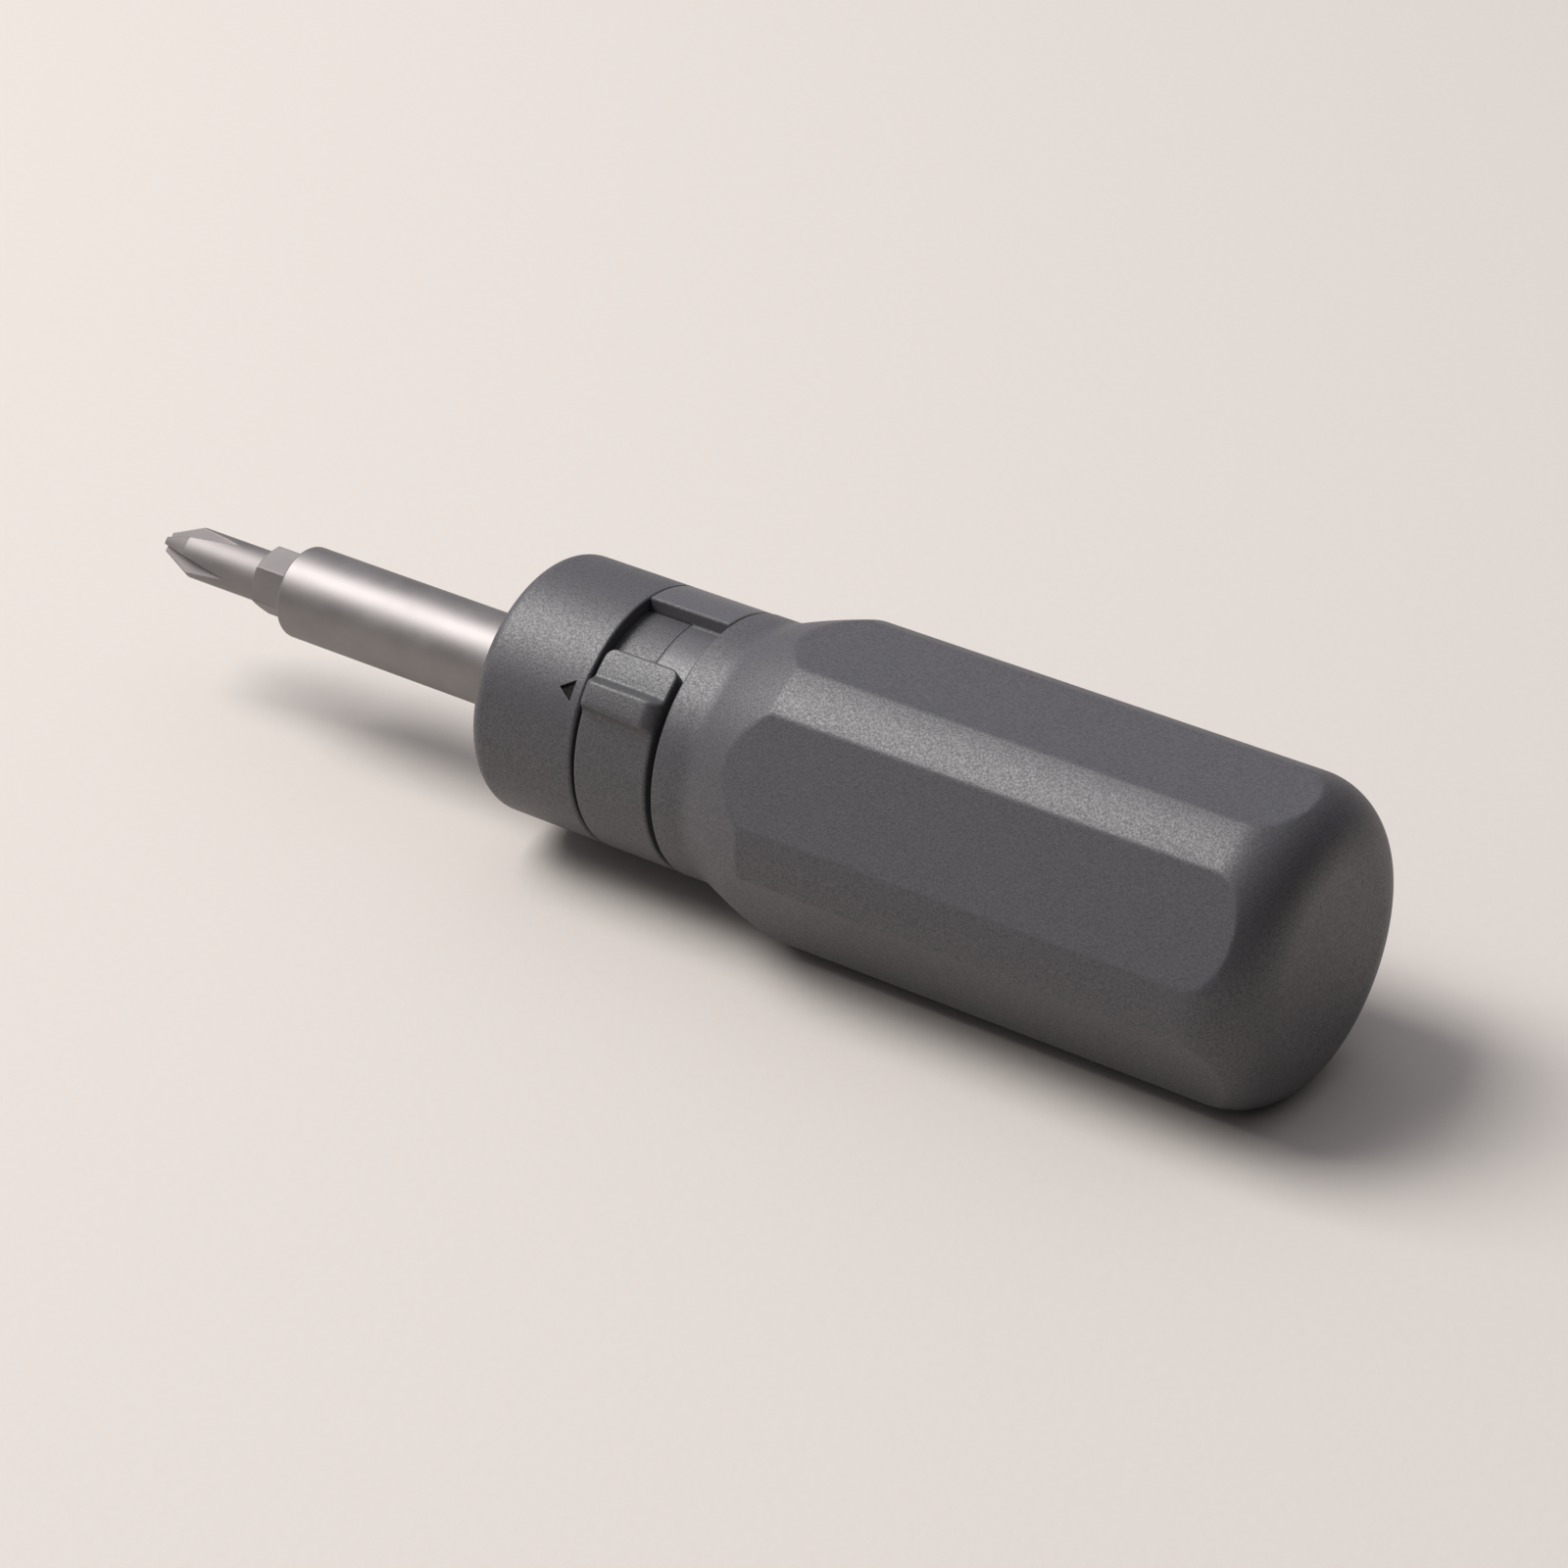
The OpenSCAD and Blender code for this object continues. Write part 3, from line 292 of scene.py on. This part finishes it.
def make_selector():
    """C-shaped ring with a thumb tab, swept round the axis from its free edge."""
    front = SELECTOR_FRONT_GAP
    back = CHANNEL_LEN - SELECTOR_BACK_GAP
    inner = FLOOR_R + SELECTOR_CLEAR
    edge = SELECTOR_EDGE
    sweep = SELECTOR_END_DEG - SELECTOR_START_DEG
    corner_deg = math.degrees(TAB_CORNER / COLLAR_R)
    edge_deg = math.degrees(edge / COLLAR_R)
    quarter = np.linspace(0, math.pi / 2, END_POINTS)
    a = np.concatenate([
        edge_deg * (1 - np.cos(quarter)),
        np.arange(edge_deg + TAB_STEP_DEG, TAB_FINE_END_DEG, TAB_STEP_DEG),
        np.arange(TAB_FINE_END_DEG + TAB_JOIN_DEG, sweep - RING_SPARE_DEG, RING_STEP_DEG),
        sweep - edge_deg * (1 - np.cos(quarter[::-1])),
    ])
    # How far the sides are drawn in by the tab's round corners, and by the rounded ends
    from_start = np.minimum(a, corner_deg) / corner_deg * TAB_CORNER
    drawn_in = TAB_CORNER - np.sqrt(
        np.maximum(TAB_CORNER**2 - (TAB_CORNER - from_start) ** 2, 0)
    )
    inset = sum(
        edge * (1 - np.sin(np.arccos(np.clip(1 - from_end / edge_deg, 0, 1))))
        for from_end in (a, sweep - a)
    )
    # Section: up the front, across the top, down the back and along the inside
    corner = np.radians(np.linspace(0, 90, CORNER_POINTS))
    across = np.linspace(0, 1, ACROSS_POINTS)[1:-1]
    sides_in = edge * (1 - np.cos(corner))
    top_down = edge * (1 - np.sin(corner))
    drop = np.concatenate([[0], top_down, 0 * across, top_down[::-1], [0]])
    rows = []
    for k, deg in enumerate(a):
        z0 = front + drawn_in[k] + inset[k] * END_SIDE_SHARE
        z1 = back - drawn_in[k] - inset[k] * END_SIDE_SHARE
        zs = np.concatenate([
            [z0], z0 + sides_in, z0 + edge + (z1 - z0 - 2 * edge) * across,
            z1 - sides_in[::-1], [z1],
        ])
        along = np.clip((zs - z0) / (z1 - z0), 0, 1)
        stretch = 1 + PAD_SLANT * along**PAD_SLANT_POWER
        slanted = PAD_SLANT_FROM_DEG + (deg - PAD_SLANT_FROM_DEG) / stretch
        height = tab_height(np.where(deg > PAD_SLANT_FROM_DEG, slanted, deg))
        from_front = 1 - np.clip((zs - z0) / PAD_FRONT_LEN, 0, 1)
        from_back = 1 - np.clip((z1 - zs) / PAD_BACK_LEN, 0, 1)
        share = np.minimum(
            1 - PAD_FRONT_FALL * from_front**2, 1 - PAD_BACK_FALL * from_back**2
        )
        r = COLLAR_R - inset[k] + height * share - drop
        r[0] = r[-1] = inner + inset[k] * END_INNER_SHARE
        rows.append(on_tool(zs, r, SELECTOR_START_DEG + deg))
    points = np.array(rows)
    return grid_mesh("selector_slider", points, caps=True, sharp_deg=SELECTOR_SHARP_DEG)


# Materials. Noise scales are per metre, and bump depths and edge radii are metres.

GREY_DARK = (0.049, 0.0475, 0.054)
GREY_LIGHT = (0.069, 0.0665, 0.075)
SELECTOR_DARK = (0.050, 0.049, 0.0535)
SELECTOR_LIGHT = (0.074, 0.0725, 0.079)
# The housing's two greys are lighter than the coating's own grey: painted light that brightens
# the channel floor and bridge as if more light fell there.
HOUSING_DARK_WITH_PAINTED_LIGHT = (0.068, 0.066, 0.074)
HOUSING_LIGHT_WITH_PAINTED_LIGHT = (0.092, 0.089, 0.098)
CORE_DARK = (0.025, 0.025, 0.028)
CORE_LIGHT = (0.035, 0.035, 0.038)
PAPER = (0.62, 0.58, 0.545)

# Grain of the coatings, and the patches where they are rubbed
COAT_GRAIN = 4500.0
COAT_DEPTH = 0.00006
COAT_BUMP = 0.4
COAT_ROUGHNESS = 0.49
COAT_ROUGHNESS_SWING = 0.05
COAT_GLOSS = (0.48, 0.84)
RUB_SCALE = 160.0
RUB_SHARE = 0.12

# Satin grain of the steel, its broken edges, and the smears on it
STEEL_GRAIN = 5200.0
STEEL_DEPTH = 0.000006
STEEL_BUMP = 0.5
STEEL_EDGE = 0.00006
SMEAR_SCALE = 220.0
SMEAR_DULL = 0.86
SMEAR_SMOOTHER = 0.03
SMEAR_ROUGHER = 0.04

# Fibres of the paper
PAPER_GRAIN = 900.0
PAPER_DEPTH = 0.0002
PAPER_BUMP = 0.15
PAPER_SHADE = 0.985
PAPER_ROUGHNESS = 0.85
PAPER_GLOSS = 0.2

# Index mark in the collar, in millimetres on the tool's axis, and its ink
MARK_FRONT = -3.3
MARK_BACK = -0.9
MARK_FADE = 0.1
MARK_FULL_DEPTH = 0.16
MARK_FIRST_DEPTH = 0.1
MARK_GLOSS = 0.12
INK_SCALE = 5200.0
INK_DARK = (0.008, 0.007, 0.007)
INK_LIGHT = (0.042, 0.036, 0.036)


class Nodes:
    """A material's node tree, with short calls to add and join nodes."""

    def __init__(self, name):
        self.material = bpy.data.materials.new(name)
        self.material.use_nodes = True
        self.tree = self.material.node_tree
        self.inputs = self.tree.nodes["Principled BSDF"].inputs

    def add(self, kind, **settings):
        node = self.tree.nodes.new("ShaderNode" + kind)
        for key, value in settings.items():
            setattr(node, key, value)
        return node

    def join(self, a, b):
        self.tree.links.new(a, b)

    def noise(self, scale, detail=2.0, rough=0.5):
        place = self.add("TexCoord")
        node = self.add("TexNoise")
        node.inputs["Scale"].default_value = scale
        node.inputs["Detail"].default_value = detail
        node.inputs["Roughness"].default_value = rough
        self.join(place.outputs["Object"], node.inputs["Vector"])
        return node.outputs["Fac"]

    def mapped(self, value, low, high, out_low=0.0, out_high=1.0):
        node = self.add("MapRange")
        node.inputs["From Min"].default_value = low
        node.inputs["From Max"].default_value = high
        node.inputs["To Min"].default_value = out_low
        node.inputs["To Max"].default_value = out_high
        self.join(value, node.inputs["Value"])
        return node.outputs["Result"]

    def blended(self, factor, a, b):
        node = self.add("Mix", data_type="RGBA")
        for socket, value in ((6, a), (7, b)):
            if isinstance(value, tuple):
                node.inputs[socket].default_value = (*value, 1)
            else:
                self.join(value, node.inputs[socket])
        self.join(factor, node.inputs[0])
        return node.outputs[2]

    def times(self, a, b):
        node = self.add("Math", operation="MULTIPLY")
        self.join(a, node.inputs[0])
        self.join(b, node.inputs[1])
        return node.outputs[0]

    def with_constant(self, operation, value, constant):
        """A vector put through an operation with a constant vector."""
        node = self.add("VectorMath", operation=operation)
        node.inputs[1].default_value = constant
        self.join(value, node.inputs[0])
        return node.outputs[0]

    def bump(self, height, strength, distance, after=None):
        node = self.add("Bump")
        node.inputs["Strength"].default_value = strength
        node.inputs["Distance"].default_value = distance
        self.join(height, node.inputs["Height"])
        if after is not None:
            self.join(after, node.inputs["Normal"])
        return node.outputs["Normal"]

    def soft_edges(self, radius):
        node = self.add("Bevel", samples=4)
        node.inputs["Radius"].default_value = radius
        return node.outputs["Normal"]


def coated(
    name, dark, light, grain=COAT_GRAIN, depth=COAT_DEPTH, roughness=COAT_ROUGHNESS, edges=None
):
    """Grey coating or moulded plastic with a fine sand grain and rubbed patches."""
    n = Nodes(name)
    fine = n.noise(grain, rough=0.6)
    broad = n.noise(RUB_SCALE, detail=3.0)
    tint = n.blended(n.mapped(fine, 0.35, 0.65), dark, light)
    n.colour = n.blended(n.mapped(broad, 0.35, 0.7, 0.0, RUB_SHARE), tint, light)
    n.join(n.colour, n.inputs["Base Color"])
    matt = n.mapped(
        fine, 0.3, 0.7, roughness + COAT_ROUGHNESS_SWING, roughness - COAT_ROUGHNESS_SWING
    )
    n.join(matt, n.inputs["Roughness"])
    n.gloss = n.mapped(fine, 0.32, 0.68, *COAT_GLOSS)
    n.join(n.gloss, n.inputs["Specular IOR Level"])
    base = None if edges is None else n.soft_edges(edges)
    n.join(n.bump(fine, COAT_BUMP, depth, base), n.inputs["Normal"])
    return n


def steel(name, colour, roughness, edges=STEEL_EDGE):
    """Bare steel with a satin grain, faint smears and softly broken edges."""
    n = Nodes(name)
    fine = n.noise(STEEL_GRAIN, detail=3.0, rough=0.6)
    smear = n.noise(SMEAR_SCALE, detail=4.0)
    dull = tuple(c * SMEAR_DULL for c in colour)
    n.join(n.blended(n.mapped(smear, 0.35, 0.65), dull, colour), n.inputs["Base Color"])
    n.inputs["Metallic"].default_value = 1.0
    satin = n.mapped(
        smear, 0.3, 0.7, roughness - SMEAR_SMOOTHER, roughness + SMEAR_ROUGHER
    )
    n.join(satin, n.inputs["Roughness"])
    brushed = n.bump(fine, STEEL_BUMP, STEEL_DEPTH, n.soft_edges(edges))
    n.join(brushed, n.inputs["Normal"])
    return n


def paper(name, colour):
    """Pale sheet under the tool, with a faint fibre grain."""
    n = Nodes(name)
    fibre = n.noise(PAPER_GRAIN, detail=5.0, rough=0.6)
    shade = tuple(c * PAPER_SHADE for c in colour)
    n.join(n.blended(n.mapped(fibre, 0.3, 0.7), shade, colour), n.inputs["Base Color"])
    n.inputs["Roughness"].default_value = PAPER_ROUGHNESS
    n.inputs["Specular IOR Level"].default_value = PAPER_GLOSS
    n.join(n.bump(fibre, PAPER_BUMP, PAPER_DEPTH), n.inputs["Normal"])
    return n


def with_dark_mark(n):
    """Black fill in the collar's engraved index mark, found by its depth under the wall."""
    to_collar = frame["nodes"]["nose_collar"].matrix_world.inverted()
    axis_at = to_collar @ Vector((ORIGIN_X, 0, AXIS_Z))
    at = n.add("TexCoord").outputs["Object"]
    from_axis = n.with_constant("SUBTRACT", at, axis_at)
    across = n.with_constant("MULTIPLY", from_axis, (0, 1, 1))
    radius = n.add("VectorMath", operation="LENGTH")
    n.join(across, radius.inputs[0])
    along = n.add("SeparateXYZ")
    n.join(from_axis, along.inputs[0])
    sunk = n.mapped(
        radius.outputs["Value"],
        (COLLAR_R - MARK_FULL_DEPTH) * MM, (COLLAR_R - MARK_FIRST_DEPTH) * MM, 1.0, 0.0
    )
    ahead = n.mapped(along.outputs["X"], MARK_FRONT * MM, (MARK_FRONT + MARK_FADE) * MM)
    behind = n.mapped(
        along.outputs["X"], (MARK_BACK - MARK_FADE) * MM, MARK_BACK * MM, 1.0, 0.0
    )
    filled = n.times(sunk, n.times(ahead, behind))
    ink = n.blended(n.mapped(n.noise(INK_SCALE), 0.42, 0.66), INK_DARK, INK_LIGHT)
    n.join(n.blended(filled, n.colour, ink), n.inputs["Base Color"])
    matt = n.mapped(filled, 0.0, 1.0, 1.0, MARK_GLOSS)
    n.join(n.times(n.gloss, matt), n.inputs["Specular IOR Level"])
    return n


finishes = {
    "handle_coating": coated("grey_handle_coating", GREY_DARK, GREY_LIGHT),
    "collar_plastic": with_dark_mark(
        coated("grey_collar", GREY_DARK, GREY_LIGHT, edges=0.00015)
    ),
    "selector_plastic": coated(
        "grey_selector", SELECTOR_DARK, SELECTOR_LIGHT, grain=4600.0, depth=0.00009
    ),
    # The housing is the same grey as the collar, painted lighter: painted light on the channel
    # floor and bridge.
    "housing_alloy": coated(
        "grey_housing_with_painted_light", HOUSING_DARK_WITH_PAINTED_LIGHT, HOUSING_LIGHT_WITH_PAINTED_LIGHT, grain=6000.0, depth=0.00003,
        roughness=0.42, edges=0.0005
    ),
    "core_plastic": coated("black_core", CORE_DARK, CORE_LIGHT, edges=0.00015),
    "bit_steel": steel("bit_steel", (0.265, 0.247, 0.245), roughness=0.58, edges=0.00022),
    "shaft_steel": steel("satin_shaft_steel", (0.275, 0.258, 0.255), roughness=0.52),
    "gear_steel": steel("gear_steel", (0.33, 0.32, 0.32), roughness=0.32),
    "pin_steel": steel("pin_steel", (0.6, 0.6, 0.6), roughness=0.22),
    "spring_steel": steel("spring_steel", (0.55, 0.53, 0.5), roughness=0.28),
    "bush_bronze": steel("bush_bronze", (0.6, 0.4, 0.2), roughness=0.34),
    "magnet_plating": steel("magnet_plating", (0.75, 0.74, 0.72), roughness=0.15),
}

# Every CAD node takes the finish of its own material slot
for part in frame["record"]["subparts"]:
    node = frame["nodes"][part["node"]]
    node.data.materials.clear()
    node.data.materials.append(finishes[part["material_slot"]].material)


# Finer pieces in the place of two CAD nodes

body_of = {
    node: body
    for body, nodes in frame["record"]["behaviour"]["bodies"].items()
    for node in nodes
}


def put_in_place(obj, node, slot):
    """Shows a finer piece instead of a CAD node, on the same body and with its finish."""
    obj.data.materials.append(finishes[slot].material)
    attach(obj, body_of[node])
    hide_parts(node)


put_in_place(make_handle_grip(), "handle_grip", "handle_coating")
put_in_place(make_selector(), "selector_ring", "selector_plastic")


# Floor, light and camera, in metres. The camera is the one that the photograph was solved as.

FLOOR_HALF = 3.0
SOFTBOX_AT = (-0.72, -0.27, 1.08)
SOFTBOX_SIDE = 0.78
SOFTBOX_POWER = 20.5
SOFTBOX_COLOUR = (1.0, 0.98, 0.955)
ROOM_TOWARDS = (-0.5, 0.25, 0.82)
ROOM_DIM = (0.03, 0.026, 0.024)
ROOM_BRIGHT = (0.66, 0.65, 0.69)
ROOM_FULL_AT = 0.9
CAMERA_AT = (0.24514, -0.33448, 0.25829)
CAMERA_RIGHT = (0.81679, 0.57694, 0.0)
CAMERA_DOWN = (0.29647, -0.41972, -0.85787)
CAMERA_AHEAD = (-0.49494, 0.70070, -0.51386)
CAMERA_LENS_MM = 112.3
CAMERA_SENSOR_MM = 36.0
CAMERA_CLIP = 0.01


def make_floor():
    sides = (-FLOOR_HALF, FLOOR_HALF)
    points = np.array([[[x, y, 0.0] for x in sides] for y in sides])
    floor = grid_mesh("floor", points, wrap=False)
    floor.data.materials.append(paper("pale_paper", PAPER).material)


def make_softbox():
    """Square area light on the left, aimed at the middle of the tool."""
    light = bpy.data.lights.new("left_softbox", "AREA")
    light.shape = "RECTANGLE"
    light.size = light.size_y = SOFTBOX_SIDE
    light.energy = SOFTBOX_POWER
    light.color = SOFTBOX_COLOUR
    obj = add_object("left_softbox", light)
    obj.location = SOFTBOX_AT
    obj.rotation_euler = (-Vector(SOFTBOX_AT)).to_track_quat("-Z", "Y").to_euler()


def make_room_light():
    """Soft room light, brightest in one direction and dim on the other side."""
    world = bpy.data.worlds.new("studio")
    world.use_nodes = True
    tree = world.node_tree
    place = tree.nodes.new("ShaderNodeTexCoord")
    facing = tree.nodes.new("ShaderNodeVectorMath")
    facing.operation = "DOT_PRODUCT"
    facing.inputs[1].default_value = Vector(ROOM_TOWARDS).normalized()
    ramp = tree.nodes.new("ShaderNodeValToRGB")
    ramp.color_ramp.elements[0].color = (*ROOM_DIM, 1)
    ramp.color_ramp.elements[1].color = (*ROOM_BRIGHT, 1)
    ramp.color_ramp.elements[1].position = ROOM_FULL_AT
    tree.links.new(place.outputs["Generated"], facing.inputs[0])
    tree.links.new(facing.outputs["Value"], ramp.inputs[0])
    tree.links.new(ramp.outputs[0], tree.nodes["Background"].inputs["Color"])
    bpy.context.scene.world = world


def make_camera():
    camera = bpy.data.cameras.new("camera")
    camera.sensor_width = CAMERA_SENSOR_MM
    camera.lens = CAMERA_LENS_MM
    camera.clip_start = CAMERA_CLIP
    obj = add_object("camera", camera)
    right, down, ahead = (Vector(v) for v in (CAMERA_RIGHT, CAMERA_DOWN, CAMERA_AHEAD))
    turn = Matrix((right, -down, -ahead)).transposed()
    obj.matrix_world = Matrix.Translation(Vector(CAMERA_AT)) @ turn.to_4x4()
    bpy.context.scene.camera = obj


make_floor()
make_room_light()
make_softbox()
make_camera()
bpy.context.scene.view_settings.view_transform = "Standard"
